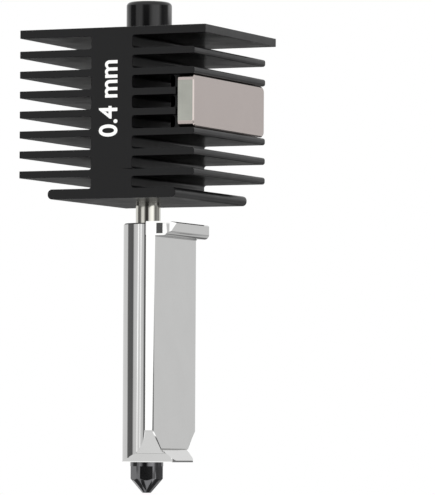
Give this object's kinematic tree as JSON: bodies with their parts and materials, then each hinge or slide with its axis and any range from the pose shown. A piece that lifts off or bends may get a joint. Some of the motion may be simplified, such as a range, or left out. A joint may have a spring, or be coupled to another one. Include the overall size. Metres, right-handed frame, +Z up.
{
  "type": "hotend assembly",
  "caption": "Bare quick-change hotend for a desktop 3D printer: finned heatsink with a side magnet, steel throat tube, long heater block with a flat heater seat, and a screw-in nozzle.",
  "frame": {"origin": "the middle of the flat heater seat on the side of the heater block", "axes": "+X out of the heater seat towards the heater, +Y to the back, +Z up along the filament, from the nozzle's tip to the inlet"},
  "size_m": [0.0244, 0.021, 0.0593],
  "materials": {
    "heatsink": "black anodised, satin",
    "inlet_collar": "black anodised, turned",
    "throat_tube": "polished stainless",
    "heater_block": "polished nickel plate",
    "nozzle": "black hardened steel",
    "magnet": "nickel-plated, bright",
    "magnet_bond": "matte"
  },
  "bodies": {
    "hotend": {"heatsink": "heatsink", "inlet_collar": "inlet_collar", "throat_tube": "throat_tube", "heater_block": "heater_block", "magnet": "magnet", "magnet_bond": "magnet_bond"},
    "nozzle": {"nozzle": "nozzle"}
  },
  "joints": [
    {"name": "nozzle_unscrew", "type": "slide", "parent": "hotend", "child": "nozzle", "axis": [0, 0, -1], "range_m": [0, 0.012]}
  ]
}
